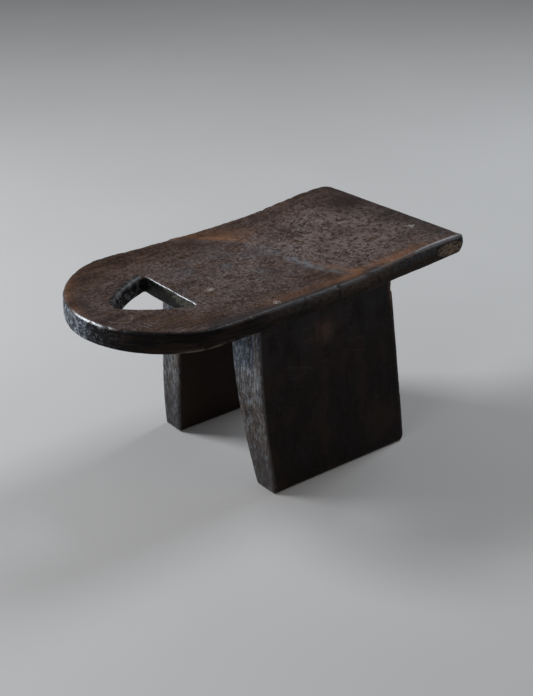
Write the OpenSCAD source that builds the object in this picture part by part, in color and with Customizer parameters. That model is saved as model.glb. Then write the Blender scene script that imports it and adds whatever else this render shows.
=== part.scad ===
// Carved wooden headrest: a slab with a rounded, pierced end, standing on two plank legs.
// Millimetres. +X runs from the rounded handle end to the square rear end, +Y is the right side
// and +Z is up. The origin is on the ground under the middle of the slab.

/* [Slab] */
// Length of the slab, from the tip of the handle end to the rear edge
slab_length = 484; // [440:2:540]
// Width of the slab across its straight sides
slab_width = 244; // [230:1:280]
// Thickness of the slab at both ends
slab_thickness = 23; // [20:0.5:28]
// Height of the headrest surface, carried forward to the tip of the handle end
front_height = 253; // [220:0.5:290]
// Height that the top gains for each millimetre towards the rear, before its rise
top_slope = 0.0045; // [0:0.0005:0.02]
// Height of the swept rise towards the rear
rise_height = 11.5; // [0:0.5:20]
// Where the rise is steepest
rise_x = 139; // [110:1:170]
// Half-length over which the rise happens
rise_spread = 50; // [30:1:70]
// Length of the rounded handle end
nose_length = 107; // [90:1:125]
// Fullness of the rounded end: 2 is an ellipse, and more is squarer
nose_fullness = 1.87; // [1.7:0.01:2.4]
// How far the right rear corner stops short of the left one
rear_skew = 15; // [0:1:18]
// Radius of the left rear corner in plan
left_corner_radius = 4; // [3:1:25]
// Radius of the right rear corner in plan
right_corner_radius = 14; // [4:1:25]

/* [Carry hole] */
// Distance from the middle of the slab to the straight edge of the hole
hole_base_x = 116.5; // [105:0.5:120]
// Width of the hole along its straight edge
hole_width = 109; // [80:1:116]
// Distance from the straight edge to the pointed end
hole_depth = 78; // [60:1:84]
// How far the two slanting sides bow outwards from straight lines
hole_bow = 7; // [0:0.5:10]

/* [Handle recess] */
// Depth of the step down from the headrest surface to the handle end
recess_depth = 2; // [0.5:0.25:3]
// Where the step crosses the middle of the slab
recess_x = 47; // [20:1:60]

/* [Legs] */
// Front edge of a leg at the ground
foot_front_x = -54; // [-70:1:-40]
// Rear edge of a leg at the ground
foot_rear_x = 158.5; // [140:0.5:175]
// Distance from the centre line to the outer face at the ground
foot_outer_y = 116; // [108:0.5:122]
// Thickness of a leg at the ground
foot_thickness = 33; // [26:0.5:40]
// How far the front edge leans forward between the ground and the slab
front_lean = 3.5; // [0:0.5:12]
// How far the front edge bows forward at mid-height
front_bow = 4.5; // [0:0.5:8]
// How far the rear edge leans forward between the ground and the slab
rear_lean = 12; // [0:0.5:20]
// How far the rear edge bows back at mid-height
rear_bow = 1.5; // [0:0.5:5]
// How far the outer face leans inwards between the ground and the slab
outer_lean = 21.5; // [10:0.5:28]
// How far the inner face leans inwards between the ground and the slab
inner_lean = 31; // [20:0.5:38]
// How far the inner face bows inwards at mid-height
inner_bow = 5; // [0:0.5:8]
// Angle that the front narrow face turns towards the outside
front_face_turn = 9; // [0:0.5:12]

/* [Joints] */
// Length of each leg's stub tenon
tenon_length = 156; // [100:2:180]
// Thickness of each stub tenon
tenon_thickness = 20; // [14:1:26]
// Height of each stub tenon above the underside of the slab, at its front
tenon_height = 10; // [6:0.5:11]
// Gap between a tenon and its mortise
tenon_gap = 0.1; // [0.05:0.05:0.3]

/* [Hidden] */
$fn = 48;
half_length = slab_length / 2;
half_width = slab_width / 2;
profile_steps = 48;   // stretches along the slab's side profile
outline_steps = 40;   // stretches round the handle end
edge_steps = 12;      // stretches up each curved edge of a leg
clear = 60;           // how far the cutting shapes run past the part
foot_rear_radius = 8;
foot_front_radius = 3;
foot_side_radius = 4;
mortise_depth_gap = 0.4;
tenon_centre_x = 49;
slab_colour = "#4b372c";
leg_colour = "#2e2825";

function tanh(u) = 1 - 2 / (exp(2 * u) + 1);

// Height of the slab's top and underside at x.
function slab_top(x) = front_height + top_slope * (x + half_length)
    + rise_height / 2 * (1 + tanh((x - rise_x) / rise_spread));
function slab_bottom(x) = slab_top(x) - slab_thickness
    - recess_depth * (half_length - x) / slab_length;
leg_height = slab_bottom(foot_front_x);

function profile_x(i) = -half_length - 1 + (slab_length + 2) * i / profile_steps;
top_edge = [for (i = [0:profile_steps]) [profile_x(i), slab_top(profile_x(i))]];
recess_edge = [for (p = top_edge) p - [0, recess_depth]];
bottom_edge = [for (p = top_edge) [p[0], slab_bottom(p[0])]];

function reversed(points) = [for (i = [len(points) - 1:-1:0]) points[i]];
function arc(centre, radius, from, to, steps = 6) =
    [for (i = [0:steps]) let (a = from + (to - from) * i / steps)
        centre + radius * [cos(a), sin(a)]];

// A power that keeps the sign, for the rounded end's superellipse.
function signed_power(v, p) = sign(v) * pow(abs(v), p);
function nose_point(a) = [
    -half_length + nose_length + nose_length * signed_power(cos(a), 2 / nose_fullness),
    half_width * signed_power(sin(a), 2 / nose_fullness)];
slab_outline = concat(
    [for (i = [0:outline_steps]) nose_point(90 + 180 * i / outline_steps)],
    arc([half_length - left_corner_radius, -half_width + left_corner_radius],
        left_corner_radius, -90, 0),
    arc([half_length - rear_skew - right_corner_radius, half_width - right_corner_radius],
        right_corner_radius, 0, 90));

// One slanting side of the hole, from the straight edge's end to the point. side is 1 or -1.
function hole_side(side) =
    let (start = [-hole_base_x, side * hole_width / 2],
         chord = [-hole_depth, -side * hole_width / 2],
         outwards = side * [chord[1], -chord[0]] / norm(chord))
    [for (i = [0:10]) let (s = i / 10) start + s * chord + 4 * s * (1 - s) * hole_bow * outwards];
hole_outline = concat(hole_side(1), reversed(hole_side(-1)));

// The step's line across the slab, from the right edge to the left one.
function recess_line(y) = let (v = y / 120)
    recess_x - 17 * v - 18 * v * v - 44 * v * v * v;
recess_outline = concat(
    [for (i = [0:16]) let (y = half_width + 4 - (slab_width + 8) * i / 16) [recess_line(y), y]],
    [[-half_length - clear, -half_width - 4], [-half_length - clear, half_width + 4]]);

// Upright prisms on outlines that are drawn in plan, in side view (x, z) and in end view (y, z).
module plan_prism(points) translate([0, 0, -clear])
    linear_extrude(height = 2 * front_height) polygon(points);
module side_prism(points) rotate([90, 0, 0])
    linear_extrude(height = slab_width + 2 * clear, center = true) polygon(points);
module end_prism(points) rotate([90, 0, 90])
    linear_extrude(height = slab_length + 2 * clear, center = true) polygon(points);

// How far up a leg z is, from 0 at the ground to 1 at the slab, and the bow at that height.
function rise(z) = z / leg_height;
function bow(z) = 4 * rise(z) * (1 - rise(z));
function front_edge(z) = -front_lean * rise(z) - front_bow * bow(z);
function rear_edge(z) = foot_rear_x - rear_lean * rise(z) + rear_bow * bow(z);
function outer_face(z) = foot_outer_y - outer_lean * rise(z);
function inner_face(z) = foot_outer_y - foot_thickness - inner_lean * rise(z) - inner_bow * bow(z);
leg_step = (leg_height + clear) / edge_steps;
leg_levels = [for (i = [0:edge_steps]) foot_rear_radius + leg_step * i];
front_levels = [for (z = leg_levels) z + leg_step / 3];

front_outline = concat(
    arc([foot_front_radius, foot_front_radius], foot_front_radius, 270, 180),
    [for (z = front_levels) [front_edge(z), z]],
    [[slab_length, leg_height + clear], [slab_length, 0]]);
rear_outline = concat(
    arc([foot_rear_x - foot_rear_radius, foot_rear_radius], foot_rear_radius, -90, 0),
    [for (z = leg_levels) [rear_edge(z), z]],
    [[-slab_length, leg_height + clear], [-slab_length, 0]]);
leg_end_outline = concat(
    [[inner_face(0), 0]],
    arc([foot_outer_y - foot_side_radius, foot_side_radius], foot_side_radius, -90, 0),
    [[outer_face(leg_height + clear), leg_height + clear]],
    [for (z = reversed(leg_levels)) [inner_face(z), z]]);

// The leg's front narrow face, turned a little about the outer foot corner.
module front_cut() translate([foot_front_x, foot_outer_y, 0])
    rotate([0, 0, -front_face_turn]) side_prism(front_outline);

// A stub tenon, or its mortise when gap is above 0. It stands on the right leg's top.
module tenon(gap = 0) {
    middle_y = (outer_face(leg_height) + inner_face(leg_height)) / 2;
    translate([tenon_centre_x - tenon_length / 2 - gap,
               middle_y - tenon_thickness / 2 - gap,
               leg_height - tenon_height])
        cube([tenon_length + 2 * gap, tenon_thickness + 2 * gap,
              2 * tenon_height + (gap > 0 ? mortise_depth_gap : 0)]);
}

// Everything above the slab's underside, which trims the leg's shoulders to it.
module above_underside() side_prism(concat(bottom_edge,
    [[half_length + 1, 2 * front_height], [-half_length - 1, 2 * front_height]]));

// The right leg, with its stub tenon.
module leg() {
    difference() {
        intersection() {
            front_cut();
            side_prism(rear_outline);
            end_prism(leg_end_outline);
        }
        above_underside();
    }
    tenon();
}

module headrest_slab() color(slab_colour) difference() {
    intersection() {
        side_prism(concat(top_edge, reversed(bottom_edge)));
        plan_prism(slab_outline);
    }
    plan_prism(hole_outline);
    intersection() {
        side_prism(concat(recess_edge, [for (p = reversed(top_edge)) p + [0, clear]]));
        plan_prism(recess_outline);
    }
    tenon(tenon_gap);
    mirror([0, 1, 0]) tenon(tenon_gap);
}

module right_leg() color(leg_colour) leg();

module left_leg() color(leg_colour) mirror([0, 1, 0]) leg();

headrest_slab();
left_leg();
right_leg();
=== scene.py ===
import math

import bmesh
import bpy
import numpy as np
from mathutils import Matrix, Vector, geometry


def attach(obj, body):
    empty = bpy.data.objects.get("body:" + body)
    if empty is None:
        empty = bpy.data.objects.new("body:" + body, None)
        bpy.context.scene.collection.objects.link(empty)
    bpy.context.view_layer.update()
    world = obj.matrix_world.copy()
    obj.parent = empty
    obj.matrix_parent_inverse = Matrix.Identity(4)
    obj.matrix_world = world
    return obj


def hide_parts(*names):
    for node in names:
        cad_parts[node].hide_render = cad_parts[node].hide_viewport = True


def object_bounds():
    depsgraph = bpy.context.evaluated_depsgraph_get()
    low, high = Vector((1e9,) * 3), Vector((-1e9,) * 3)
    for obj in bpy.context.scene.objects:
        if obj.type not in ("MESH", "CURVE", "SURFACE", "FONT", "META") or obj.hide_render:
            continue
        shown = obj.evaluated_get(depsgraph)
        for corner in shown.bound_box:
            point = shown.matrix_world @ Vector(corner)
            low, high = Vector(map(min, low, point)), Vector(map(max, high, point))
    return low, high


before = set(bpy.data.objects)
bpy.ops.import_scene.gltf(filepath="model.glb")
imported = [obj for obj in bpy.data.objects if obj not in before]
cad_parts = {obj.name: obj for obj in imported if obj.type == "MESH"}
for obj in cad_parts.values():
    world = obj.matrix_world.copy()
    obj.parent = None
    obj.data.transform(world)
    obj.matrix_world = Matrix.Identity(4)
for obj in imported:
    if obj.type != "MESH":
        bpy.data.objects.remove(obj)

# The carved headrest around its CAD frame. Shapes are worked out in millimetres, in the CAD frame:
# +X towards the rear, +Y to the right, +Z up, and the ground at z = 0.

CAD_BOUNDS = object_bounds()
METRES = 0.001
ROW_GAP = 0.866         # rows of an even triangle grid, as a share of its spacing
JITTER = 0.12           # how far a grid point strays, as a share of the spacing
EDGE_CLEAR = 0.62       # how near an outline a grid point may lie, in the same shares
WORN_SHARE = 0.35       # a face whose arris mask is above this has the arris material
FACES_UP = 0.6          # a face whose normal's z is above this has the top's material

# ---------------------------------------------------------------- smooth noise and small helpers


def lattice(ix, iy, iz, seed):
    """A repeatable value from -1 to 1 at each whole-numbered point of space."""
    h = (ix * 374761393 + iy * 668265263 + iz * 1442695041 + seed * 1274126177) & 0xFFFFFFFF
    h = ((h ^ (h >> 13)) * 1274126177) & 0xFFFFFFFF
    return ((h ^ (h >> 16)) & 0xFFFF) / 32767.5 - 1


def noise(points, size, seed, octaves=2):
    """Smooth noise of about -1 to 1 at points (n, 3); size is its grain in mm, one number or three."""
    total, weight, scale = 0.0, 1.0, 1.0
    for octave in range(octaves):
        q = points * scale / np.asarray(size, float) + 17.3 * seed
        cell = np.floor(q).astype(np.int64)
        f = q - cell
        w = f * f * (3 - 2 * f)
        value = 0.0
        for corner in range(8):
            step = np.array([corner & 1, corner >> 1 & 1, corner >> 2 & 1])
            share = np.prod(np.where(step, w, 1 - w), axis=1)
            at = cell + step
            value = value + share * lattice(at[:, 0], at[:, 1], at[:, 2], seed + octave)
        total = total + weight * value
        weight, scale = weight * 0.5, scale * 2.03
    return total


def noise2(x, y, size, seed, octaves=2):
    """The same noise for points of a plan."""
    return noise(np.stack([x, y, np.zeros_like(x)], -1), size, seed, octaves)


def smooth(value, low, high):
    """0 below low, 1 above high, and an even curve between them."""
    t = np.clip((np.asarray(value, float) - low) / (high - low), 0, 1)
    return t * t * (3 - 2 * t)


def bell(value, width):
    return np.exp(-(np.asarray(value, float) / width) ** 2)


def resample(points, spacing):
    """The closed outline again, with its points spaced evenly."""
    points = np.asarray(points, float)
    ends = np.vstack([points, points[:1]])
    along = np.concatenate([[0], np.cumsum(np.linalg.norm(np.diff(ends, axis=0), axis=1))])
    count = int(round(along[-1] / spacing))
    at = np.linspace(0, along[-1], count, endpoint=False)
    return np.stack([np.interp(at, along, ends[:, 0]), np.interp(at, along, ends[:, 1])], -1)


def soften(values, passes):
    """Rounds a closed run of values by averaging neighbours."""
    for _ in range(passes):
        values = 0.25 * np.roll(values, 1, 0) + 0.5 * values + 0.25 * np.roll(values, -1, 0)
    return values


def outward(loop):
    """Unit normals of an anticlockwise closed outline, pointing out of it."""
    run = np.roll(loop, -1, 0) - np.roll(loop, 1, 0)
    normal = np.stack([run[:, 1], -run[:, 0]], -1)
    return normal / np.linalg.norm(normal, axis=1, keepdims=True)


def distance(points, loop):
    """How far each plan point is from the nearest point of an outline."""
    out = np.empty(len(points))
    for start in range(0, len(points), 2000):
        gap = points[start:start + 2000, None, :2] - loop[None, :, :2]
        out[start:start + 2000] = np.sqrt((gap * gap).sum(2).min(1))
    return out


def inside(points, loop):
    """Whether each plan point is inside a closed outline."""
    result = np.zeros(len(points), bool)
    for a, b in zip(loop, np.roll(loop, -1, 0)):
        crosses = (a[1] > points[:, 1]) != (b[1] > points[:, 1])
        rise = b[1] - a[1] if abs(b[1] - a[1]) > 1e-12 else 1e-12
        result ^= crosses & (points[:, 0] < a[0] + (b[0] - a[0]) * (points[:, 1] - a[1]) / rise)
    return result


def fill(loops, spacing, seed):
    """Fills the plan region inside the first outline and outside the others.

    Returns the extra points and the triangles, which count the outlines' points first."""
    edge_points = np.vstack(loops)
    rng = np.random.default_rng(seed)
    low, high = loops[0].min(0), loops[0].max(0)
    rows = []
    for row, y in enumerate(np.arange(low[1], high[1], spacing * ROW_GAP)):
        x = np.arange(low[0] + (row % 2) * spacing / 2, high[0], spacing)
        rows.append(np.stack([x, np.full_like(x, y)], -1))
    grid = np.vstack(rows)
    grid += rng.uniform(-JITTER, JITTER, grid.shape) * spacing
    keep = inside(grid, loops[0]) & (distance(grid, edge_points) > EDGE_CLEAR * spacing)
    for hole in loops[1:]:
        keep &= ~inside(grid, hole)
    grid = grid[keep]
    points = np.vstack([edge_points, grid])
    edges, start = [], 0
    for loop in loops:
        n = len(loop)
        edges += [(start + i, start + (i + 1) % n) for i in range(n)]
        start += n
    made = geometry.delaunay_2d_cdt([Vector(p) for p in points], edges, [], 0, 1e-7)
    source = [ids[0] for ids in made[3]]
    triangles = np.array([[source[i] for i in face] for face in made[2]])
    middle = points[triangles].mean(1)
    wanted = inside(middle, loops[0])
    for hole in loops[1:]:
        wanted &= ~inside(middle, hole)
    return grid, triangles[wanted]


class Sculpt:
    """Collects a piece's points and faces, then makes its mesh."""

    def __init__(self):
        self.points, self.faces, self.count = [], [], 0

    def add(self, points):
        first = self.count
        self.points.append(np.asarray(points, float))
        self.count += len(points)
        return np.arange(first, self.count)

    def band(self, a, b):
        """Quads between two closed rings of the same number of points."""
        n = len(a)
        for i in range(n):
            j = (i + 1) % n
            self.faces.append((a[i], a[j], b[j], b[i]))

    def cap(self, rings, spacing, seed, height):
        """Fills between rings in plan; height gives the z of the points added inside."""
        points = np.vstack(self.points)
        loops = [points[r][:, :2] for r in rings]
        inner, triangles = fill(loops, spacing, seed)
        ids = np.concatenate(rings + [self.add(np.column_stack([inner, height(inner)]))])
        self.faces += [tuple(ids[t]) for t in triangles]

    def piece(self, name, points, masks, materials, node):
        """The finished mesh. The materials are for its arrises, its top and the rest of it."""
        mesh = bpy.data.meshes.new(name)
        mesh.from_pydata((points * METRES).tolist(), [], [tuple(map(int, f)) for f in self.faces])
        shape = bmesh.new()
        shape.from_mesh(mesh)
        bmesh.ops.recalc_face_normals(shape, faces=shape.faces)
        shape.to_mesh(mesh)
        shape.free()
        mesh.polygons.foreach_set("use_smooth", [True] * len(mesh.polygons))
        for mask, values in masks.items():
            layer = mesh.attributes.new(mask, "FLOAT", "POINT")
            layer.data.foreach_set("value", np.asarray(values, np.float32))
        upward = mesh.attributes.new("upward", "FLOAT", "POINT")
        upward.data.foreach_set("value", [v.normal.z for v in mesh.vertices])
        for material in materials:
            mesh.materials.append(material)
        for face in mesh.polygons:
            worn = np.mean([masks["arris"][i] for i in face.vertices]) > WORN_SHARE
            face.material_index = 0 if worn else 1 if face.normal.z > FACES_UP else 2
        obj = bpy.data.objects.new(name, mesh)
        bpy.context.scene.collection.objects.link(obj)
        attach(obj, "root")
        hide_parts(node)
        return obj


def dent(points, centre, radius, depth, push):
    """Presses a smooth dent into the points round centre, along the direction push."""
    gap = np.linalg.norm(points - np.asarray(centre, float), axis=1) / radius
    amount = depth * np.clip(1 - gap * gap, 0, 1) ** 2
    return points + amount[:, None] * np.asarray(push, float)


# ---------------------------------------------------------------- the slab's shape

HALF_LENGTH, HALF_WIDTH = (round(side / METRES, 3) for side in CAD_BOUNDS[1][:2])
THICKNESS = 23.0
FRONT_HEIGHT, TOP_SLOPE = 253.0, 0.0045
RISE_HEIGHT, RISE_X, RISE_SPREAD = 11.5, 139.0, 50.0
NOSE_LENGTH, NOSE_FULLNESS = 107.0, 1.87
REAR_SKEW = 15.0
LEFT_CORNER_RADIUS, RIGHT_CORNER_RADIUS = 4.0, 14.0
RECESS_DEPTH = 2.0
HOLE_BASE_X, HOLE_HALF_WIDTH, HOLE_DEPTH, HOLE_BOW = -116.5, 54.5, 78.0, 7.0
OUTER_FALL = {"reach": 5.0, "depth": 0.7}     # how the worn top drops towards its outer edge
HOLE_FALL = {"reach": 4.0, "depth": 0.35}     # and towards the hole
HOLE_LOWER_ROUND = 1.8
# The nicks along the left arris: place along the slab, radius and depth.
NICKS = ((41, 5.5, 2.2), (-10, 4.5, 1.5), (-86, 4, 0.8), (188, 3.5, 0.8))
KNOCKS, TOP_KNOCKS = 46, 0.65                 # how many knocks, and the share on the top's arris
# The left rear corner bulges in the middle of its height, and is worn back above and below it.
CORNER_BULGE, CORNER_UPPER_WEAR, CORNER_LOWER_WEAR, CORNER_REACH = 2.6, 1.6, 5.4, 13.0
OUTLINE_SPACING, HOLE_SPACING = 1.8, 1.5
TOP_GRID, UNDERSIDE_GRID = 2.6, 4.0


def crease_x(y):
    """Where the step crosses the slab: the handle end is in front of it, and a little lower."""
    v = np.clip(np.asarray(y, float) / 120, -1.05, 1.05)
    return 47 - 17 * v - 18 * v * v - 44 * v ** 3


def plain_top(x):
    """The top's height in side view, without the step."""
    return FRONT_HEIGHT + TOP_SLOPE * (x + HALF_LENGTH) \
        + RISE_HEIGHT / 2 * (1 + np.tanh((x - RISE_X) / RISE_SPREAD))


def plain_bottom(x):
    """The underside's height in side view."""
    return plain_top(x) - THICKNESS - RECESS_DEPTH * (HALF_LENGTH - x) / (2 * HALF_LENGTH)


def rim_rise(x, y):
    """How far the rim of the dished handle end stands above the wood round the hole."""
    forward = np.maximum(-(x + HALF_LENGTH - NOSE_LENGTH), 0)
    rim = (forward / NOSE_LENGTH) ** NOSE_FULLNESS + (np.abs(y) / HALF_WIDTH) ** NOSE_FULLNESS
    right = np.interp(x, (-170, -120, -92, -45, -15), (5.0, 5.0, 3.5, 2.6, 0))
    left = np.interp(x, (-190, -155, -118), (4.0, 1.5, 0))
    share = smooth(y, -40, 40)
    return smooth(rim, 0.45, 0.98) * (share * right + (1 - share) * left)


def top_height(x, y):
    """The carved and worn top, before its edges fall away."""
    behind = x - crease_x(y)
    step = 1 - smooth(behind, -4.0, 3.5)
    lip = 0.25 * bell(behind - 7, 7)
    hollow = -0.35 * bell(behind - 60, 55) * bell(y, 80)
    waves = 0.30 * noise2(x, y, (75, 55, 1), 3) + 0.13 * noise2(x, y, (26, 14, 1), 5, 3)
    scoop = -0.9 * bell(x - 212, 20) * bell(y - 52, 26)
    return plain_top(x) - RECESS_DEPTH * step + lip + hollow + waves + scoop + rim_rise(x, y)


def bottom_height(x, y):
    """The underside, left with broad shallow tool facets."""
    facets = 0.35 * noise2(x, y, (34, 22, 1), 11) + 0.15 * noise2(x, y, (12, 9, 1), 12)
    belly = 2.6 * bell(x - 188, 42)
    return plain_bottom(x) + facets - belly


def slab_outline():
    """The slab in plan, anticlockwise, with the small strays of a hand-cut edge."""
    angle = np.radians(np.linspace(90, 270, 160))
    c, s, power = np.cos(angle), np.sin(angle), 2 / NOSE_FULLNESS
    nose = np.stack([-HALF_LENGTH + NOSE_LENGTH - NOSE_LENGTH * np.abs(c) ** power,
                     HALF_WIDTH * np.sign(s) * np.abs(s) ** power], -1)
    near_r, far_r = LEFT_CORNER_RADIUS, RIGHT_CORNER_RADIUS
    turn = np.radians(np.linspace(-90, 0, 14))
    near = [HALF_LENGTH - near_r, -HALF_WIDTH + near_r] \
        + near_r * np.stack([np.cos(turn), np.sin(turn)], -1)
    far = [HALF_LENGTH - REAR_SKEW - far_r, HALF_WIDTH - far_r] \
        + far_r * np.stack([np.cos(turn + np.pi / 2), np.sin(turn + np.pi / 2)], -1)
    loop = soften(resample(np.vstack([nose, near, far]), OUTLINE_SPACING), 1)
    flat = np.column_stack([loop, np.zeros(len(loop))])
    wander = 0.45 * noise(flat, 45, 21) + 0.12 * noise(flat, 11, 22)
    wander = np.maximum(wander + 0.25, 0) * (1 - 0.8 * smooth(loop[:, 0], 200, 225))
    return loop - outward(loop) * wander[:, None]


def hole_outline():
    """The carry hole in plan: a straight edge and two bowed sides that meet in a point."""
    s = np.linspace(0, 1, 40)[:, None]
    sides = []
    for side in (1, -1):
        start = np.array([HOLE_BASE_X, side * HOLE_HALF_WIDTH])
        chord = np.array([-HOLE_DEPTH, -side * HOLE_HALF_WIDTH])
        out = side * np.array([chord[1], -chord[0]]) / np.linalg.norm(chord)
        sides.append(start + s * chord + 4 * s * (1 - s) * HOLE_BOW * out)
    loop = soften(resample(np.vstack([sides[0], sides[1][::-1]]), HOLE_SPACING), 2)
    flat = np.column_stack([loop, np.zeros(len(loop))])
    return loop + outward(loop) * (0.35 * noise(flat, 20, 23))[:, None]


def edge_fall(d, reach, depth):
    """How far a worn top has dropped at distance d from its edge."""
    return depth * np.exp(-d / reach)


def sweep(loop, away, top_round, bottom_round, swell, fall):
    """Rings from the top's edge, round its arris, down the side and in under the slab."""
    rings = []
    for turn in np.linspace(0, math.pi / 2, 7):
        inset = top_round * (1 - math.sin(turn))
        drop = top_round * (1 - math.cos(turn))
        xy = loop - away * inset[:, None]
        rings.append(np.column_stack([xy, top_height(*xy.T) - drop - edge_fall(inset, **fall)]))
    high = rings[-1][:, 2]
    low = bottom_height(*loop.T) + bottom_round
    for t in np.linspace(0, 1, 11)[1:-1]:
        xy = loop + away * (swell * (4 * t * (1 - t)) ** 0.8)[:, None]
        rings.append(np.column_stack([xy, high + (low - high) * t]))
    for turn in np.linspace(math.pi / 2, 0, 5):
        inset = bottom_round * (1 - math.sin(turn))
        rise = bottom_round * (1 - math.cos(turn))
        xy = loop - away * inset[:, None]
        rings.append(np.column_stack([xy, bottom_height(*xy.T) + rise]))
    return rings


def outer_rings(outer):
    """The slab's outer edge, with a softer arris along the left side and round the handle end."""
    flat = np.column_stack([outer, np.zeros(len(outer))])
    wobble = noise(flat, 28, 31)
    x, y = outer.T
    nose = smooth(-x, 150, 215) * smooth(y, -95, -40)
    near_side = smooth(x, -150, -115) * smooth(-y, 100, 118)
    near_nose = smooth(-y, 40, 75) * (1 - smooth(x, -150, -115))
    to_corner = np.hypot(x - HALF_LENGTH, y + HALF_WIDTH)
    top_round = soften(2.4 + 2.2 * nose + 2.4 * near_side + 0.3 * near_nose + 0.4 * wobble, 4)
    top_round = np.minimum(top_round, 1.8 + 0.25 * to_corner)
    bottom_round = soften(2.0 + 0.8 * nose - 0.6 * near_side + 0.4 * noise(flat, 24, 32), 4)
    bottom_round = np.minimum(bottom_round, 1.5 + 0.2 * to_corner)
    swell = soften(0.25 + 0.45 * near_side + 0.1 * wobble, 6)
    return sweep(outer, outward(outer), top_round, bottom_round, swell, OUTER_FALL)


def hole_rings(hole):
    """The hole's wall, with a broad worn bevel along its right side."""
    x, y = hole.T
    base = smooth(x, -123, -117) * smooth(54 - np.abs(y), 0, 5)
    right_side = smooth(y, 3, 12) * (1 - base)
    rim_round = soften(2.6 - 1.0 * base + 5.4 * right_side, 6)
    lower_round = np.full(len(hole), HOLE_LOWER_ROUND)
    return sweep(hole, -outward(hole), rim_round, lower_round, np.zeros(len(hole)), HOLE_FALL)


def wear_slab(points, outer):
    """Nicks along the left arris, small knocks all round, and a rear corner worn to an oval."""
    out = outward(outer)
    for at_x, size, depth in NICKS:
        points = dent(points, (at_x, 1 - HALF_WIDTH, plain_top(at_x) - 1.5), size, depth,
                      (0, 0.7, -0.7))
    rng = np.random.default_rng(8)
    for _ in range(KNOCKS):
        i = rng.integers(len(outer))
        on_top = rng.random() < TOP_KNOCKS
        level = plain_top(outer[i, 0]) if on_top else plain_bottom(outer[i, 0])
        push = (-out[i, 0], -out[i, 1], -0.6 if on_top else 0.6)
        points = dent(points, (outer[i, 0], outer[i, 1], level),
                      rng.uniform(2.5, 6), rng.uniform(0.2, 0.7), push)
    points = points + 0.10 * np.stack([noise(points, 9, 41 + k) for k in range(3)], -1)
    ragged = 0.45 * smooth(points[:, 1], 112, 121) * smooth(points[:, 2], 240, 250)
    points[:, 2] += ragged * noise(points, (6, 6, 30), 51, 3)

    x, y, z = points.T
    level = (z - bottom_height(x, y)) / (top_height(x, y) - bottom_height(x, y))
    corner = bell(np.hypot(x - HALF_LENGTH, y + HALF_WIDTH), CORNER_REACH)
    from_middle = np.clip(2 * level - 1, -1, 1)
    wear = np.where(from_middle < 0, CORNER_LOWER_WEAR, CORNER_UPPER_WEAR)
    points[:, 0] += corner * (CORNER_BULGE - wear * from_middle ** 2)
    return points


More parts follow.
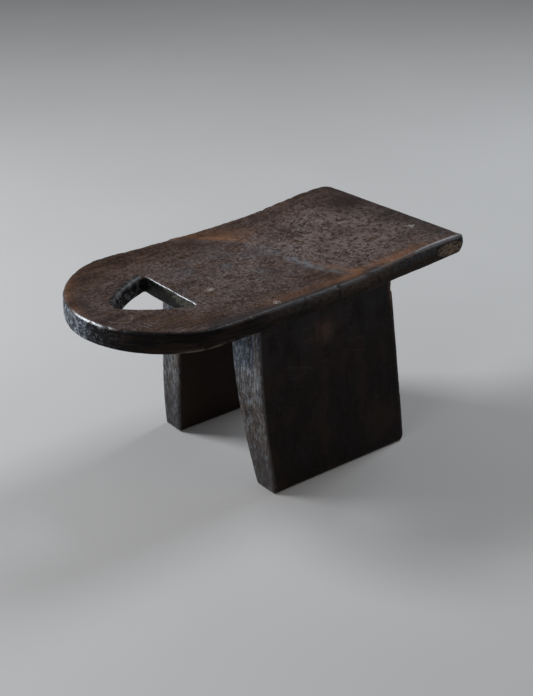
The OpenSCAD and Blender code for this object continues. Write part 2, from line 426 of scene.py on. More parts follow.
def slab_masks(points, outer, hole):
    """Where each kind of wear, and each painted highlight, reflection, light and shade, lies on the
    slab, as values that steer its material.
    """
    x, y, z = points.T
    d_out, d_hole = distance(points, outer), distance(points, hole)
    below_top = np.abs(top_height(x, y) - z)
    above_bottom = np.abs(z - bottom_height(x, y))
    dull = smooth(-y, 40, 75) * (1 - smooth(x, -80, -40))
    gloss = smooth(x, -90, -40) * smooth(-y, 90, 112)
    dim = gloss * (0.75 - 0.45 * smooth(x, 140, 200))
    reach = np.maximum(np.hypot(d_out, below_top) - 1.8 * gloss, 0)
    arris = np.maximum(bell(reach, 3.4) * (1 - 0.9 * dull) * (1 - dim),
                       0.8 * bell(np.hypot(d_hole, below_top), 2.6))
    under_arris = bell(np.hypot(d_out, above_bottom), 2.6)
    behind = x - crease_x(y)
    rear = smooth(behind, -3, 3)
    from_left = HALF_WIDTH + y
    narrowed = 1 - 0.6 * smooth(x, 165, 205)
    left_edge = (1 - smooth(from_left, 8 * narrowed, 27 * narrowed)) * smooth(x, 20, 70) \
        * (1 - 0.3 * smooth(x, 110, 160)) * (1 - 0.4 * smooth(x, 215, 240))
    left_front = 0.38 * bell(from_left - 14, 9) * smooth(x, -80, -40) * (1 - smooth(x, 30, 70))
    # Painted shade: the top darkens in a strip along the left edge where it rolls over, and in a patch
    # near the handle end's rim.
    shade_width = 14 + 10 * (1 - smooth(x, -100, -40))
    edge_shade = (1 - smooth(from_left, 0.5 * shade_width, shade_width)) * smooth(x, -170, -130) \
        * (1 - smooth(x, 100, 135))
    nose_shade = 0.6 * bell(d_out - 16, 12) * smooth(-x, 190, 215) * bell(y - 5, 40)
    nicked = sum(bell(np.hypot(x - at_x, y + 119), 0.7 * size) for at_x, size, _ in NICKS[:2])
    dark_rim = smooth(-y, 40, 75) * (1 - smooth(x, -140, -110)) \
        * (1 - smooth(d_out, 2.4, 4.4)) * (1 - smooth(below_top, 3, 6))
    step_band = rear * (1 - smooth(behind, 4, 15)) * smooth(np.abs(y + 5), 30, 80)
    right_patch = 0.7 * rear * smooth(y, 50, 85) * (1 - smooth(behind, 12, 70))
    nose_rim = bell(d_out - 6, 8) * smooth(-x, 175, 210) * smooth(y, -15, 15)
    warm = np.clip(left_edge + left_front + step_band * (0.85 - 0.25 * smooth(y, 0, 60))
                   + 0.8 * right_patch + 0.45 * nose_rim, 0, 1)
    end_wood = smooth(-x, 165, 205) * smooth(y, -78, -8) * (1 - smooth(y, 85, 110))
    # Where the handle end's far-left side is painted paler and bluer, partly for the key light falling
    # on it.
    pale_lit_end = smooth(-x, 200, 222) * smooth(y, -30, 6) * (1 - smooth(y, 75, 112))
    # Where the step's riser gets its painted reflection.
    straight_rise = bell(behind + 2.0, 5.6) * smooth(y, -114, -84) \
        * (1 - 0.6 * smooth(y, 30, 66)) * (0.7 + 0.5 * bell(y + 38, 26))
    return {
        # The band along the left arris, from the middle to the rear, that gets a painted highlight.
        "painted_sheen": gloss * (1 - smooth(reach + 0.5 * smooth(x, 120, 170), 1.4, 3.2))
        * smooth(-y, 116.5, 118.5),
        "arris": arris, "rear": rear, "warm": warm, "dark_rim": dark_rim,
        "under_arris": under_arris * smooth(x, -190, -165) * (1 - smooth(x, -110, -85))
        * smooth(-y, 60, 90),
        "edge_shade": np.maximum(edge_shade, nose_shade), "nicked": np.minimum(nicked, 1),
        "depth": (top_height(x, y) - z) / THICKNESS,
        "riser": straight_rise, "middle": bell(y + 5, 70) * bell(x + 30, 110),
        "dark_spot": np.maximum.reduce([
            bell(x - 207, 30) * bell(y - 55, 36), 0.75 * bell(x - 210, 17) * bell(y + 13, 21),
            0.5 * smooth(x, 200, 228) * smooth(y, -112, -95)]),
        "pale": bell(x - 150, 70) * bell(y + 15, 60) * rear,
        "end_wood": end_wood, "pale_lit_end": pale_lit_end, "in_hole": 1 - smooth(d_hole, 3, 7),
        "bevel": (1 - smooth(d_hole, 5, 11)) * smooth(y, 2, 14) * smooth(-x, 118, 124),
    }


def build_slab(materials):
    sculpt = Sculpt()
    outer, hole = slab_outline(), hole_outline()
    rings_out = [sculpt.add(ring) for ring in outer_rings(outer)]
    rings_hole = [sculpt.add(ring) for ring in hole_rings(hole)]
    for rings in (rings_out, rings_hole):
        for a, b in zip(rings, rings[1:]):
            sculpt.band(a, b)

    def top_of(xy):
        return top_height(*xy.T) - edge_fall(distance(xy, outer), **OUTER_FALL) \
            - edge_fall(distance(xy, hole), **HOLE_FALL)

    sculpt.cap([rings_out[0], rings_hole[0]], TOP_GRID, 1, top_of)
    sculpt.cap([rings_out[-1], rings_hole[-1]], UNDERSIDE_GRID, 2,
               lambda xy: bottom_height(*xy.T))
    points = wear_slab(np.vstack(sculpt.points), outer)
    return sculpt.piece("headrest_slab_carved", points, slab_masks(points, outer, hole),
                        materials, "headrest_slab")


# ---------------------------------------------------------------- the legs' shape

LEG_REF = 225.0         # the height over which the leans and bows are measured
LEG_TOP = 231.0         # the height of a leg's last ring, before it follows the underside
INTO_SLAB = 0.9         # how far a leg's top runs into the slab
LEG_RADII = (2.4, 2.8, 2.8, 3.0)
LEG_KNOCKS = 20
FOOT_LEVELS = [0, 0.35, 0.9, 1.7, 2.8, 4.2, 6.0, 8.2]
SOLE_GRID, LEG_TOP_GRID = 3.5, 5.0
FOOT_FRONT, FRONT_LEAN, FRONT_BOW = -54.3, 6.29, 4.68
FOOT_REAR, REAR_LEAN, REAR_BOW = 158.6, 11.8, 1.4
FOOT_OUTER, OUTER_LEAN = 116.0, 20.7
FOOT_INNER, INNER_LEAN, INNER_BOW = 83.1, 30.1, 5.0


def foot_round(radius, z):
    """How far an edge that is rounded at the ground has drawn in at height z."""
    return radius - math.sqrt(max(radius ** 2 - max(radius - z, 0) ** 2, 0))


def leg_corners(z):
    """The right leg's corners at height z: front outer, rear outer, rear inner, front inner."""
    t = z / LEG_REF
    bow = 4 * t * (1 - t)
    front = FOOT_FRONT - FRONT_LEAN * t - FRONT_BOW * bow
    rear = FOOT_REAR - REAR_LEAN * t + REAR_BOW * bow
    outer = FOOT_OUTER - OUTER_LEAN * t
    inner = FOOT_INNER - INNER_LEAN * t - INNER_BOW * bow
    forward = 1.2 + 6.6 * t
    return np.array([
        [front + foot_round(2.5, z), outer - foot_round(3.5, z)],
        [rear - foot_round(9.0, z), outer - foot_round(3.5, z)],
        [rear - foot_round(9.0, z), inner + foot_round(3.5, z)],
        [front - forward + foot_round(4.5, z), inner + foot_round(5.0, z)]])


def rounded_section(corners, radii, broad=84, narrow=11, arc=6):
    """A closed ring round four corners, with the same number of points at every height."""
    ring = []
    for k in range(4):
        here, before, after = corners[k], corners[k - 1], corners[(k + 1) % 4]
        a = (before - here) / np.linalg.norm(before - here)
        b = (after - here) / np.linalg.norm(after - here)
        r = radii[k]
        t = np.linspace(0, 1, arc)[:, None]
        start, end = here + a * r, here + b * r
        bend = here + (a + b) * r * 0.10
        ring.append((1 - t) ** 2 * start + 2 * t * (1 - t) * bend + t * t * end)
        nxt = radii[(k + 1) % 4]
        finish = after - b * nxt
        count = broad if k in (0, 2) else narrow
        t = np.linspace(0, 1, count + 2)[1:-1, None]
        ring.append(end + (finish - end) * t)
    return np.vstack(ring)


def leg_masks(x, z, gaps, side):
    """Where each kind of wear, and the painted shade and reflection, lie on a leg, from its places and
    its gaps to the four faces.
    """
    to_front, to_rear, to_outer, to_inner = gaps
    to_end, to_side = np.minimum(to_front, to_rear), np.minimum(to_outer, to_inner)
    left, right = float(side < 0), float(side > 0)
    narrow = np.maximum(bell(np.maximum(to_front, 0), 2.6), bell(np.maximum(to_rear, 0), 2.6))
    return {
        # worn is 1 on the left leg: it picks each leg's blue, and the right leg's narrow faces get
        # painted shade where it is 0.
        "worn": np.full(len(x), left),
        "arris": np.maximum(bell(np.hypot(to_end, to_side), 3.4),
                            0.6 * bell(np.hypot(z, np.minimum(to_end, to_side)), 4)),
        "narrow": narrow * smooth(to_side, -0.9, 0.6),
        "height": z / LEG_TOP, "inner": 1 - smooth(to_inner, 0.5, 3.0),
        "patch": bell(x - 36, 16) * bell(z - 188, 14) * left,
        "copper": bell(to_rear - 1.5, 3.5) * bell(z - 203, 17) * left,
        "strip": bell(to_inner - 4, 5) * smooth(z, 95, 150) * right,
    }


def build_leg(name, side, materials, node, seed):
    """A leg: side is 1 for the right one and -1 for its mirror image on the left."""
    sculpt = Sculpt()
    levels = np.concatenate([FOOT_LEVELS, np.linspace(11, LEG_TOP, 86)])
    rings = []
    for z in levels:
        ring = rounded_section(leg_corners(z), LEG_RADII)
        stretch = (z / LEG_TOP) ** 3
        top = plain_bottom(ring[:, 0]) + INTO_SLAB
        rings.append(sculpt.add(np.column_stack([ring, z + stretch * (top - LEG_TOP)])))
    for a, b in zip(rings, rings[1:]):
        sculpt.band(a, b)
    sculpt.cap([rings[0]], SOLE_GRID, 3, lambda xy: np.zeros(len(xy)))
    sculpt.cap([rings[-1]], LEG_TOP_GRID, 4, lambda xy: plain_bottom(xy[:, 0]) + INTO_SLAB)
    points = np.vstack(sculpt.points)
    x, y, z = points.T

    # Faces bulge a little between their arrises, and carry the carver's shallow waves.
    corners = np.array([leg_corners(v) for v in np.clip(z, 9, LEG_TOP)])
    outer, inner = corners[:, 0, 1], corners[:, 3, 1]
    front = corners[:, 0, 0] + (corners[:, 3, 0] - corners[:, 0, 0]) \
        * np.clip((outer - y) / (outer - inner), 0, 1)
    to_front, to_rear = x - front, corners[:, 1, 0] - x
    to_outer, to_inner = outer - y, y - inner
    free = smooth(z, 0.2, 9) * (1 - smooth(z, 215, 229))
    waves = np.stack([noise(points, (40, 30, 55), seed + k, 3) for k in range(3)], -1)
    fine = np.stack([noise(points, (9, 9, 16), seed + 5 + k) for k in range(3)], -1)
    points = points + free[:, None] * (0.34 * waves + 0.07 * fine)
    narrow_bulge = 0.7 * bell(to_front, 5) * np.clip(to_outer * to_inner / 150, 0, 1)
    points[:, 0] -= free * narrow_bulge
    broad_bulge = 0.5 * bell(to_outer, 4) * bell((x - 50) / 100, 1.2)
    points[:, 1] -= free * broad_bulge * noise(points, 70, seed + 9)

    # Knocks along the arrises, and a chip at the rear edge under the slab.
    rng = np.random.default_rng(seed)
    for _ in range(LEG_KNOCKS):
        level = rng.uniform(4, 222)
        c = leg_corners(level)[rng.integers(4)]
        middle = leg_corners(level).mean(0)
        push = np.append(np.sign(middle - c) * [0.8, 0.8], 0)
        points = dent(points, (c[0], c[1], level), rng.uniform(3, 6), rng.uniform(0.1, 0.45), push)
    points = dent(points, (147.5, 97, 210), 6, 1.8, (-1, 0, 0))
    points[:, 2] = np.maximum(points[:, 2], 0)

    masks = leg_masks(x, z, (to_front, to_rear, to_outer, to_inner), side)
    points[:, 1] *= side
    return sculpt.piece(name, points, masks, materials, node)


# ---------------------------------------------------------------- materials

# Colours as linear red, green and blue.
# The slab's top.
TOP_DARK = (0.032, 0.015, 0.009)
TOP_BROWN = (0.072, 0.036, 0.021)
FILM = (0.158, 0.110, 0.096)
PALE_FILM = (0.210, 0.155, 0.135)
COOL_FILM = (0.084, 0.086, 0.094)
TOP_STAIN = (0.030, 0.015, 0.010)
WORN_ORANGE = (0.245, 0.100, 0.043)
PAINTED_STEP_REFLECTION = (0.158, 0.150, 0.155)
PIT = (0.040, 0.026, 0.021)
FINE_PIT = (0.026, 0.016, 0.012)
BROWN_FLECK = (0.150, 0.098, 0.075)
PALE_FLECK = (0.340, 0.274, 0.252)
PAINTED_EDGE_SHADE = (0.034, 0.029, 0.028)
REAR_GRIME = (0.026, 0.020, 0.019)
DARK_BLOTCH = (0.022, 0.013, 0.010)
BRUISE = (0.018, 0.010, 0.008)
SCUFF = (0.230, 0.175, 0.150)
CHIP = (0.42, 0.37, 0.33)
# Its sides, with the painted light on their upper part, and the hole's walls.
SIDE_BLACK = (0.0035, 0.0027, 0.0024)
SIDE_BROWN = (0.019, 0.011, 0.008)
SIDE_BLOTCH = (0.026, 0.016, 0.011)
SIDE_FLAKE = (0.042, 0.028, 0.022)
LIT_FRONT = (0.058, 0.048, 0.043)
LIT_MIDDLE = (0.084, 0.058, 0.046)
LIT_REAR = (0.062, 0.063, 0.069)
SIDE_LOWER = (0.026, 0.018, 0.013)
END_BLACK = (0.0075, 0.0080, 0.0095)
END_BLUE_SHEEN = (0.072, 0.083, 0.104)
END_GREY = (0.140, 0.146, 0.160)
END_PALE = (0.330, 0.348, 0.385)
CORNER_RING = (0.007, 0.007, 0.006)
CORNER_OLIVE = (0.212, 0.152, 0.108)
HOLE_BLACK = (0.0035, 0.003, 0.0026)
HOLE_BROWN = (0.013, 0.011, 0.009)
HOLE_RUBBED_LIT = (0.095, 0.088, 0.068)
LOWER_ARRIS = (0.20, 0.155, 0.12)
# Its edges, and the colours of the painted highlight along the left arris.
BEVEL_DARK = (0.008, 0.007, 0.007)
BEVEL_FLAKE = (0.082, 0.078, 0.078)
RIM_BLACK = (0.0042, 0.0037, 0.0034)
ARRIS_RUB = (0.13, 0.12, 0.12)
PAINTED_SHINE_FRONT = (0.078, 0.074, 0.076)
PAINTED_SHINE_REAR = (0.104, 0.108, 0.120)
NICK = (0.010, 0.009, 0.009)
# The legs' broad faces.
LEG_BLACK = (0.0060, 0.0045, 0.0040)
LEG_BROWN = (0.0120, 0.0085, 0.0072)
LEG_CLOUD = (0.026, 0.0145, 0.0100)
LEG_STAIN = (0.0140, 0.0125, 0.0130)
LEG_UPPER = (0.0270, 0.0235, 0.0255)
LEG_INNER = (0.030, 0.016, 0.010)
LEG_PATCH = (0.090, 0.053, 0.041)
HAIRLINE = (0.064, 0.060, 0.060)
LEG_SPECK = (0.055, 0.056, 0.048)
LEG_CRUMB = (0.025, 0.0185, 0.0160)
LEG_RUB = (0.12, 0.098, 0.086)
COPPER = (0.210, 0.095, 0.050)
# Their narrow faces, with the blues of a painted reflection.
NARROW_BLUE_SHEEN_RIGHT = (0.048, 0.077, 0.122)
NARROW_BLUE_SHEEN_LEFT = (0.054, 0.077, 0.114)
NARROW_TAN = (0.125, 0.098, 0.080)
NARROW_STAIN = (0.034, 0.031, 0.032)
NARROW_BARE = (0.155, 0.118, 0.092)
NARROW_FLAKE = (0.270, 0.290, 0.318)
NARROW_STRAND = (0.420, 0.430, 0.440)
NARROW_DARK = (0.024, 0.021, 0.021)
NARROW_CRUMB = (0.52, 0.51, 0.49)
NARROW_LOW = (0.016, 0.018, 0.022)
NARROW_SHADE = (0.020, 0.018, 0.020)
INNER_STRIP = (0.150, 0.100, 0.072)
# The floor.
FLOOR_DARK = (0.60, 0.56, 0.525)
FLOOR_PALE = (0.66, 0.615, 0.58)

# Marks on the slab's top, in plan and in mm. A chip's third number is its radius.
SCUFF_CENTRE, SCUFF_RADIUS = (-206, -28.5), 16.0
BRUISES = ((-227, -32), (-214, -28), (-201, -24))
CHIPS = ((-42, -108, 3.0), (-80, -30, 3.4), (211, -61, 3.0))


class Graph:
    """A material's node tree, with one short call for each kind of node used here."""

    def __init__(self, name):
        self.material = bpy.data.materials.new(name)
        self.material.use_nodes = True
        self.tree = self.material.node_tree
        self.surface = self.tree.nodes["Principled BSDF"]
        self.coords = self.make("ShaderNodeTexCoord").outputs["Object"]

    def make(self, kind, **settings):
        node = self.tree.nodes.new(kind)
        for key, value in settings.items():
            setattr(node, key, value)
        return node

    def put(self, socket, value):
        if isinstance(value, bpy.types.NodeSocket):
            self.tree.links.new(value, socket)
        elif isinstance(value, tuple) and len(value) == 3 and socket.type == "RGBA":
            socket.default_value = (*value, 1)
        else:
            socket.default_value = value

    def grain(self, size, seed, angle=0.0):
        """Object coordinates divided by a grain size in mm, and shifted by seed."""
        coords = self.coords
        if angle:
            turn = self.make("ShaderNodeVectorRotate", rotation_type="Y_AXIS")
            self.put(turn.inputs["Vector"], coords)
            self.put(turn.inputs["Angle"], angle)
            coords = turn.outputs["Vector"]
        node = self.make("ShaderNodeVectorMath", operation="MULTIPLY_ADD")
        self.put(node.inputs[0], coords)
        self.put(node.inputs[1], tuple(1000.0 / s for s in size))
        self.put(node.inputs[2], (seed * 3.7, seed * 1.9, seed * 2.3))
        return node.outputs[0]

    def noise(self, size, seed, detail=3.0, rough=0.55, twist=0.0, angle=0.0):
        """Noise of a grain size; angle tips the grain about the Y axis."""
        node = self.make("ShaderNodeTexNoise")
        self.put(node.inputs["Vector"], self.grain(size, seed, angle))
        self.put(node.inputs["Scale"], 1.0)
        self.put(node.inputs["Detail"], detail)
        self.put(node.inputs["Roughness"], rough)
        self.put(node.inputs["Distortion"], twist)
        return node.outputs["Fac"]

    def step(self, value, low, high, to=1.0, start=0.0):
        node = self.make("ShaderNodeMapRange", interpolation_type="SMOOTHSTEP")
        for key, v in (("Value", value), ("From Min", low), ("From Max", high),
                       ("To Min", start), ("To Max", to)):
            self.put(node.inputs[key], v)
        return node.outputs["Result"]

    def math(self, operation, a, b=0.0, clamp=False):
        node = self.make("ShaderNodeMath", operation=operation, use_clamp=clamp)
        self.put(node.inputs[0], a)
        self.put(node.inputs[1], b)
        return node.outputs[0]

    def times(self, *values):
        result = values[0]
        for value in values[1:]:
            result = self.math("MULTIPLY", result, value)
        return result

    def plus(self, *values):
        result = values[0]
        for value in values[1:]:
            result = self.math("ADD", result, value)
        return result

    def mix(self, factor, a, b, blend="MIX"):
        node = self.make("ShaderNodeMix", data_type="RGBA", blend_type=blend)
        self.put(node.inputs[0], factor)
        self.put(node.inputs[6], a)
        self.put(node.inputs[7], b)
        return node.outputs[2]

    def mask(self, name):
        return self.make("ShaderNodeAttribute", attribute_name=name).outputs["Fac"]

    def place(self):
        """The point's own x, y and z, in metres."""
        split = self.make("ShaderNodeSeparateXYZ")
        self.put(split.inputs[0], self.coords)
        return split.outputs["X"], split.outputs["Y"], split.outputs["Z"]

    def away(self, x, y):
        """Distance in mm from a point of the plan."""
        across = self.make("ShaderNodeVectorMath", operation="MULTIPLY")
        self.put(across.inputs[0], self.coords)
        self.put(across.inputs[1], (1000.0, 1000.0, 0.0))
        gap = self.make("ShaderNodeVectorMath", operation="DISTANCE")
        self.put(gap.inputs[0], across.outputs[0])
        self.put(gap.inputs[1], (x, y, 0.0))
        return gap.outputs["Value"]

    def bump(self, height, millimetres, below=None):
        node = self.make("ShaderNodeBump")
        self.put(node.inputs["Strength"], 1.0)
        self.put(node.inputs["Distance"], millimetres * METRES)
        self.put(node.inputs["Height"], height)
        if below is not None:
            self.put(node.inputs["Normal"], below)
        return node.outputs["Normal"]


def slab_top_colour(g):
    """Brown wood under a flaky, paler film of wear, which is thickest behind the step."""
    rear, warm, riser = (g.mask(n) for n in ("rear", "warm", "riser"))
    broad = g.noise((95, 60, 60), 1, 2)
    blotch = g.noise((34, 26, 26), 2, 4, 0.6)
    streak = g.noise((50, 7, 7), 3, 4, 0.65)
    lump = g.noise((6.0, 7.5, 6.5), 4, 3, 0.6, 0.3)
    fleck = g.noise((3.6, 3.2, 3.2), 5, 3, 0.6)
    grit = g.noise((1.8, 1.8, 1.8), 6, 1, 0.5)
    x, y, _ = g.place()
    film = g.math("MINIMUM", 1.0, g.plus(
        0.04, g.times(rear, 0.34), g.times(g.step(broad, 0.42, 0.60), 0.20),
        g.times(g.step(blotch, 0.42, 0.60), 0.25), g.times(g.mask("middle"), 0.48)))
    film = g.times(film, g.step(y, 0.112, 0.050, start=0.35))

    top = g.mix(g.step(streak, 0.38, 0.62), TOP_DARK, TOP_BROWN)
    top = g.mix(g.times(film, g.step(lump, 0.36, 0.60)), top, FILM)
    top = g.mix(g.times(g.mask("pale"), g.step(lump, 0.38, 0.60), 0.7), top, PALE_FILM)
    cool = g.times(g.mask("middle"), g.step(g.noise((40, 30, 30), 7, 3, 0.6), 0.46, 0.60))
    top = g.mix(g.times(cool, 0.50), top, COOL_FILM)
    top = g.mix(g.times(g.step(g.noise((55, 34, 34), 10, 3, 0.6), 0.47, 0.36), 0.50),
                top, TOP_STAIN)
    glow = g.times(warm, g.step(blotch, 0.30, 0.56))
    top = g.mix(g.times(glow, 0.80), top, WORN_ORANGE)
    # Painted reflection: the step's riser is painted pale grey in patches, for the cool light it
    # reflects.
    patchy = g.times(g.step(g.noise((20, 20, 20), 11, 3, 0.6), 0.36, 0.56, start=0.35),
                     g.step(lump, 0.38, 0.56, start=0.45))
    top = g.mix(g.times(riser, patchy), top, PAINTED_STEP_REFLECTION)
    pits = g.times(g.plus(0.12, g.times(film, 0.34)),
                   g.step(g.noise((30, 30, 30), 13, 2), 0.40, 0.60, start=0.5, to=1.25))
    top = g.mix(g.times(g.step(lump, 0.50, 0.28), pits, 0.9), top, PIT)
    light = g.mix(film, BROWN_FLECK, PALE_FLECK)
    flecked = g.times(g.plus(0.36, g.times(film, 0.36)),
                      g.math("SUBTRACT", 1.0, g.times(warm, 0.5)))
    top = g.mix(g.times(g.step(fleck, 0.49, 0.68), flecked), top, light)
    top = g.mix(g.times(g.step(fleck, 0.42, 0.30), pits, 0.7), top, FINE_PIT)
    # Painted shade: dark grey-brown where the top rolls over towards its left edge, and near the
    # handle end's rim.
    top = g.mix(g.times(g.mask("edge_shade"), 0.72), top, PAINTED_EDGE_SHADE)
    top = g.mix(g.times(g.step(x, 0.165, 0.225), 0.36), top, REAR_GRIME)
    top = g.mix(g.times(g.mask("dark_spot"), 0.85), top, DARK_BLOTCH)
    # A curved scuff on the handle end with a bruise beside it, and three pale chips.
    reach = g.plus(g.away(*SCUFF_CENTRE), g.times(g.math("SUBTRACT", lump, 0.5), 5.0))
    line = g.step(g.math("ABSOLUTE", g.math("SUBTRACT", reach, SCUFF_RADIUS)), 1.5, 0.4)
    scuff = g.times(line, g.step(y, -0.027, -0.034), g.step(x, -0.227, -0.219),
                    g.step(fleck, 0.36, 0.50))
    for bruise_x, bruise_y in BRUISES:
        bruise = g.step(g.away(bruise_x, bruise_y), 9.0, 3.0)
        top = g.mix(g.times(bruise, 0.55), top, BRUISE)
    top = g.mix(g.times(scuff, 0.6), top, SCUFF)
    for chip_x, chip_y, size in CHIPS:
        ragged = g.plus(g.away(chip_x, chip_y), g.times(g.math("SUBTRACT", grit, 0.5), 26.0))
        top = g.mix(g.times(g.step(ragged, size, size - 1.5), 0.8), top, CHIP)
    return top, g.times(g.plus(lump, g.times(fleck, 0.45)), g.plus(0.45, g.times(film, 0.55)))


def slab_side_colour(g):
    """Nearly black sides with painted light on their upper part, pale and flaky on the handle's end,
    and the hole's walls.
    """
    x, y, z = g.place()
    blotch = g.noise((34, 20, 14), 42, 4, 0.6)
    streak = g.noise((46, 46, 3.4), 43, 4, 0.65)
    flake = g.noise((7, 7, 5), 44, 4, 0.65)
    crumb = g.noise((2.6, 2.6, 2.2), 45, 3, 0.6)
    pale = g.plus(g.times(flake, 0.6), g.times(crumb, 0.4))

    side = g.mix(g.step(streak, 0.42, 0.66), SIDE_BLACK, SIDE_BROWN)
    side = g.mix(g.times(g.step(blotch, 0.53, 0.64), 0.6), side, SIDE_BLOTCH)
    side = g.mix(g.times(g.step(x, 0.0, 0.11), g.step(flake, 0.38, 0.56), 0.6), side,
                 SIDE_FLAKE)
    depth = g.mask("depth")
    # Painted light: from the middle rearward, the sides' upper part is painted paler in flecks, as if
    # lit from above, and cooler towards the rear.
    painted_lit_upper = g.times(g.step(depth, 0.78, 0.25), g.step(x, -0.100, -0.030))
    lit = g.mix(g.step(x, 0.000, 0.060), LIT_FRONT, LIT_MIDDLE)
    lit = g.mix(g.step(x, 0.090, 0.150), lit, LIT_REAR)
    side = g.mix(g.times(painted_lit_upper, g.step(pale, 0.38, 0.60, start=0.25)), side, lit)
    lower = g.times(g.step(depth, 0.60, 0.90), g.step(x, 0.090, 0.130))
    side = g.mix(g.times(lower, 0.7), side, SIDE_LOWER)
    ends, pale_lit_end = g.mask("end_wood"), g.mask("pale_lit_end")
    side = g.mix(g.times(ends, 0.8), side, END_BLACK)
    # Pale flaky wood on the handle end's far-left side, painted bluer and paler than the rest of the
    # end: partly painted light, where the key light falls.
    side = g.mix(g.times(pale_lit_end, g.step(flake, 0.34, 0.54)), side, END_BLUE_SHEEN)
    side = g.mix(g.times(ends, g.step(pale, 0.51, 0.60), 0.75), side, END_GREY)
    side = g.mix(g.times(pale_lit_end, g.step(pale, 0.48, 0.58)), side, END_PALE)
    # An oval worn patch at the left rear end of the side, inside a dark ring.
    from_x = g.math("DIVIDE", g.math("SUBTRACT", x, 0.2205), 0.0215)
    from_z = g.math("DIVIDE", g.math("SUBTRACT", z, 0.2520), 0.0088)
    oval = g.plus(g.times(from_x, from_x), g.times(from_z, from_z),
                  g.times(g.math("SUBTRACT", flake, 0.5), 1.2))
    left = g.step(y, -0.108, -0.117)
    side = g.mix(g.times(g.step(oval, 1.7, 1.2), left, 0.7), side, CORNER_RING)
    side = g.mix(g.times(g.step(oval, 1.2, 0.65), left, g.step(crumb, 0.36, 0.56)),
                 side, CORNER_OLIVE)
    # The hole's walls, with a rubbed grey-green stretch on the straight one, kept to a band along its
    # upper part: the darker wall below it is painted shade.
    in_hole = g.mask("in_hole")
    side = g.mix(in_hole, side, g.mix(g.step(flake, 0.45, 0.62), HOLE_BLACK,
                                      HOLE_BROWN))
    slant = g.math("SUBTRACT", g.math("DIVIDE", g.math("SUBTRACT", z, 0.229), 0.022),
                   g.math("DIVIDE", g.math("ADD", y, 0.042), 0.090))
    straight = g.times(in_hole, g.step(x, -0.1185, -0.1165), g.step(slant, 0.05, 0.40))
    side = g.mix(g.times(straight, g.step(pale, 0.40, 0.56)), side, HOLE_RUBBED_LIT)
    low = g.times(g.mask("under_arris"), g.step(g.noise((18, 9, 9), 9, 3, 0.6), 0.36, 0.50))
    side = g.mix(g.times(low, 0.75), side, LOWER_ARRIS)
    return side, g.plus(flake, g.times(crumb, 0.5), g.times(streak, 0.3))


def slab_material(name, specular):
    """The slab's patina. Every face of it shares the colours, and only the gloss differs."""
    g = Graph(name)
    top, top_relief = slab_top_colour(g)
    side, side_relief = slab_side_colour(g)
    arris = g.mask("arris")
    above = g.step(g.mask("upward"), 0.30, 0.70)
    colour = g.mix(above, side, top)
    flaked = g.mix(g.step(g.noise((6, 6, 6), 17, 3, 0.6), 0.48, 0.60),
                   BEVEL_DARK, BEVEL_FLAKE)
    colour = g.mix(g.times(g.mask("bevel"), 0.85), colour, flaked)
    colour = g.mix(g.times(g.mask("dark_rim"), 0.92), colour, RIM_BLACK)
    painted_sheen = g.mask("painted_sheen")
    rub = g.times(arris, g.step(g.noise((14, 8, 8), 8, 3, 0.6), 0.38, 0.6))
    colour = g.mix(g.times(rub, 0.30), colour, ARRIS_RUB)
    # Painted highlight: worn holds a pale grey line along the left arris that stands in for the light
    # it catches, brighter and bluer towards the rear.
    worn = g.times(painted_sheen, g.step(g.noise((9, 4, 4), 12, 3, 0.65), 0.40, 0.54, start=0.25))
    shine = g.mix(g.step(g.place()[0], 0.130, 0.200), PAINTED_SHINE_FRONT,
                  PAINTED_SHINE_REAR)
    colour = g.mix(g.times(worn, 0.9), colour, shine)
    colour = g.mix(g.times(g.mask("nicked"), 0.85), colour, NICK)
    g.put(g.surface.inputs["Base Color"], colour)
    relief = g.plus(g.times(above, top_relief),
                    g.times(g.math("SUBTRACT", 1.0, above), side_relief))
    rough = g.plus(0.34, g.times(relief, 0.14), g.times(arris, -0.22), g.times(painted_sheen, 0.22))
    g.put(g.surface.inputs["Roughness"], rough)
    g.surface.inputs["Specular IOR Level"].default_value = specular
    polish = g.math("SUBTRACT", 1.0, g.times(arris, 0.88))
    g.put(g.surface.inputs["Normal"], g.bump(g.times(relief, polish), 0.65))
    return g.material


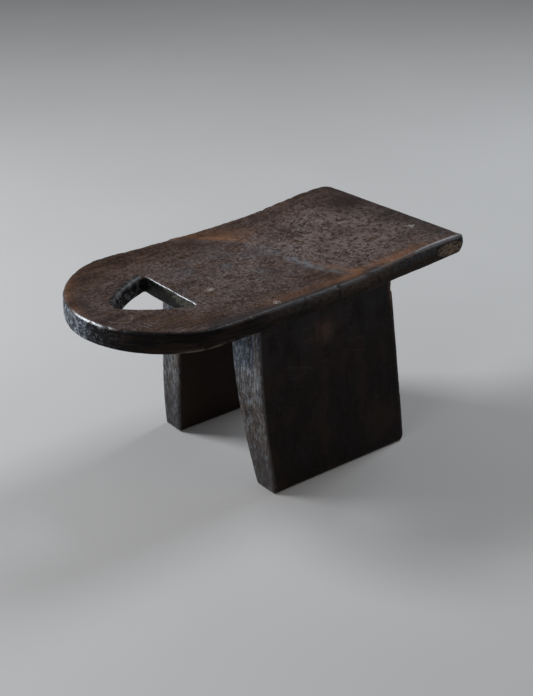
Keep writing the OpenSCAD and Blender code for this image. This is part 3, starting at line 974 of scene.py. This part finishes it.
def leg_material(name, specular):
    """The legs' patina: nearly black broad faces, and worn, streaky narrow ones with a painted bluish
    reflection at the top and painted shade low down and on the right leg.
    """
    g = Graph(name)
    narrow, arris, height = g.mask("narrow"), g.mask("arris"), g.mask("height")
    cloud = g.noise((42, 42, 60), 11, 3, 0.6)
    stain = g.noise((16, 16, 34), 12, 4, 0.6)
    grain = g.noise((3.0, 3.0, 40), 13, 4, 0.65)
    strand = g.noise((2.0, 2.0, 14), 14, 3, 0.6)
    crumb = g.noise((1.6, 1.6, 2.4), 15, 2, 0.6)
    speck = g.noise((3.2, 3.2, 4.2), 16, 2, 0.5)

    broad = g.mix(g.step(grain, 0.35, 0.7), LEG_BLACK, LEG_BROWN)
    broad = g.mix(g.times(g.step(cloud, 0.46, 0.62), 0.6), broad, LEG_CLOUD)
    broad = g.mix(g.times(g.step(stain, 0.52, 0.62), 0.55), broad, LEG_STAIN)
    broad = g.mix(g.times(g.step(height, 0.55, 0.95), g.step(stain, 0.34, 0.56), 0.8), broad,
                  LEG_UPPER)
    broad = g.mix(g.times(g.mask("inner"), 0.5), broad, LEG_INNER)
    broad = g.mix(g.times(g.mask("patch"), g.step(stain, 0.30, 0.54), 0.9), broad,
                  LEG_PATCH)
    for angle, seed in ((0.15, 51), (-0.30, 52)):
        hairline = g.noise((48, 48, 1.6), seed, 2, 0.5, 0.8, angle)
        broken = g.times(g.step(g.noise((34, 34, 26), seed + 5, 2), 0.48, 0.58),
                         g.step(height, 0.35, 0.75))
        broad = g.mix(g.times(g.step(hairline, 0.61, 0.68), broken, 0.5), broad,
                      HAIRLINE)
    broad = g.mix(g.times(g.step(speck, 0.68, 0.74), 0.45), broad, LEG_SPECK)
    broad = g.mix(g.times(g.step(crumb, 0.52, 0.66), 0.55), broad, LEG_CRUMB)

    flake = g.noise((6.5, 6.5, 11), 19, 4, 0.65)
    # Painted reflection: the narrow faces turn blue towards the top, for the cool light they reflect,
    # over tan wood lower down.
    blue = g.mix(g.mask("worn"), NARROW_BLUE_SHEEN_RIGHT, NARROW_BLUE_SHEEN_LEFT)
    ends = g.mix(g.step(height, 0.45, 0.85), NARROW_TAN, blue)
    ends = g.mix(g.times(g.step(stain, 0.47, 0.60), 0.75), ends, NARROW_STAIN)
    ends = g.mix(g.times(g.step(cloud, 0.48, 0.58), g.step(stain, 0.56, 0.44), 0.7), ends,
                 NARROW_BARE)
    ends = g.mix(g.times(g.step(flake, 0.50, 0.62), 0.65), ends, NARROW_FLAKE)
    ends = g.mix(g.times(g.step(strand, 0.54, 0.66), 0.55), ends, NARROW_STRAND)
    ends = g.mix(g.times(g.step(strand, 0.45, 0.35), 0.65), ends, NARROW_DARK)
    ends = g.mix(g.times(g.step(crumb, 0.58, 0.70), 0.45), ends, NARROW_CRUMB)
    low_patch = g.times(g.step(height, 0.42, 0.18), g.step(stain, 0.56, 0.46))
    ends = g.mix(g.times(low_patch, 0.5), ends, NARROW_LOW)
    # Painted shade: the narrow faces darken towards the foot, and the right leg's are darker all over.
    shade = g.plus(g.times(g.step(height, 0.40, 0.15), 0.30),
                   g.times(g.math("SUBTRACT", 1.0, g.mask("worn")), 0.30))
    ends = g.mix(g.math("MINIMUM", shade, 0.6), ends, NARROW_SHADE)
    ends = g.mix(g.times(g.mask("strip"), 0.8), ends, INNER_STRIP)

    colour = g.mix(narrow, broad, ends)
    rub = g.times(arris, g.step(g.noise((5, 5, 16), 18, 3, 0.6), 0.40, 0.62))
    colour = g.mix(g.times(rub, 0.22), colour, LEG_RUB)
    colour = g.mix(g.times(g.mask("copper"), g.step(strand, 0.36, 0.52), 0.8), colour,
                   COPPER)
    g.put(g.surface.inputs["Base Color"], colour)
    rough = g.plus(0.44, g.times(stain, 0.18), g.times(arris, -0.14))
    g.put(g.surface.inputs["Roughness"], rough)
    g.surface.inputs["Specular IOR Level"].default_value = specular
    coarse = g.bump(g.plus(g.times(strand, 0.7), g.times(crumb, 0.4)), 0.45)
    g.put(g.surface.inputs["Normal"], g.bump(grain, 0.25, coarse))
    return g.material


# ---------------------------------------------------------------- stage, light and camera


CAMERA_DOWN, CAMERA_ROLL, CAMERA_HEADING = 26.577, -0.809, 52.37
CAMERA_PLACE = (-0.9984, -1.32845, 0.9686)
LENS, SENSOR = 76.93, 36
FLOOR_HALF = 8.0


def make_camera():
    pitch, roll = math.radians(CAMERA_DOWN), math.radians(CAMERA_ROLL)
    heading = math.radians(CAMERA_HEADING)
    ahead = Vector((math.cos(heading) * math.cos(pitch), math.sin(heading) * math.cos(pitch),
                    -math.sin(pitch)))
    level = ahead.cross(Vector((0, 0, 1))).normalized()
    above = level.cross(ahead)
    right = math.cos(roll) * level + math.sin(roll) * above
    up = -math.sin(roll) * level + math.cos(roll) * above
    data = bpy.data.cameras.new("camera")
    data.sensor_width = SENSOR
    data.lens = LENS
    camera = bpy.data.objects.new("camera", data)
    placed = Matrix((right, up, -ahead)).transposed().to_4x4()
    placed.translation = Vector(CAMERA_PLACE)
    camera.matrix_world = placed
    bpy.context.scene.collection.objects.link(camera)
    bpy.context.scene.camera = camera


def area_light(name, place, size, watts, colour, target=(0, 0, 0.18)):
    """A soft light at place, aimed at the object."""
    data = bpy.data.lights.new(name, "AREA")
    data.shape, data.size, data.size_y = "RECTANGLE", *size
    data.energy, data.color = watts, colour
    light = bpy.data.objects.new(name, data)
    light.location = place
    aim = Vector(target) - Vector(place)
    light.rotation_euler = aim.to_track_quat("-Z", "Y").to_euler()
    bpy.context.scene.collection.objects.link(light)


def make_stage():
    """A plain pale floor, a faint sky and four soft lights."""
    mesh = bpy.data.meshes.new("floor")
    half = FLOOR_HALF
    mesh.from_pydata([(-half, -half, 0), (half, -half, 0), (half, half, 0), (-half, half, 0)],
                     [], [(0, 1, 2, 3)])
    floor = bpy.data.objects.new("floor", mesh)
    bpy.context.scene.collection.objects.link(floor)
    g = Graph("floor_plaster")
    tone = g.noise((420, 420, 420), 31, 3)
    g.put(g.surface.inputs["Base Color"],
          g.mix(tone, FLOOR_DARK, FLOOR_PALE))
    g.surface.inputs["Roughness"].default_value = 0.85
    g.surface.inputs["Specular IOR Level"].default_value = 0.2
    mesh.materials.append(g.material)
    world = bpy.data.worlds.new("studio")
    world.use_nodes = True
    world.node_tree.nodes["Background"].inputs["Color"].default_value = (0.90, 0.94, 1.0, 1)
    world.node_tree.nodes["Background"].inputs["Strength"].default_value = 0.06
    bpy.context.scene.world = world
    area_light("key", (-1.30, 1.50, 1.60), (0.85, 0.65), 46, (0.84, 0.92, 1.0))
    area_light("overhead", (1.70, 0.10, 1.85), (0.7, 1.3), 25, (0.80, 0.90, 1.0))
    area_light("front", (-2.3, -0.9, 1.3), (1.2, 1.2), 10, (0.92, 0.95, 1.0))
    area_light("fill", (1.3, -2.3, 1.4), (1.5, 1.5), 6, (1.0, 0.95, 0.90))


make_camera()
make_stage()
build_slab([slab_material("slab_arris", 0.70), slab_material("slab_top", 0.20),
            slab_material("slab_side", 0.08)])
leg_arris, leg_faces = leg_material("leg_arris", 0.28), leg_material("leg_faces", 0.11)
leg_woods = [leg_arris, leg_faces, leg_faces]
build_leg("left_leg_carved", -1, leg_woods, "left_leg", 101)
build_leg("right_leg_carved", 1, leg_woods, "right_leg", 202)

bpy.context.scene.view_settings.view_transform = "Standard"
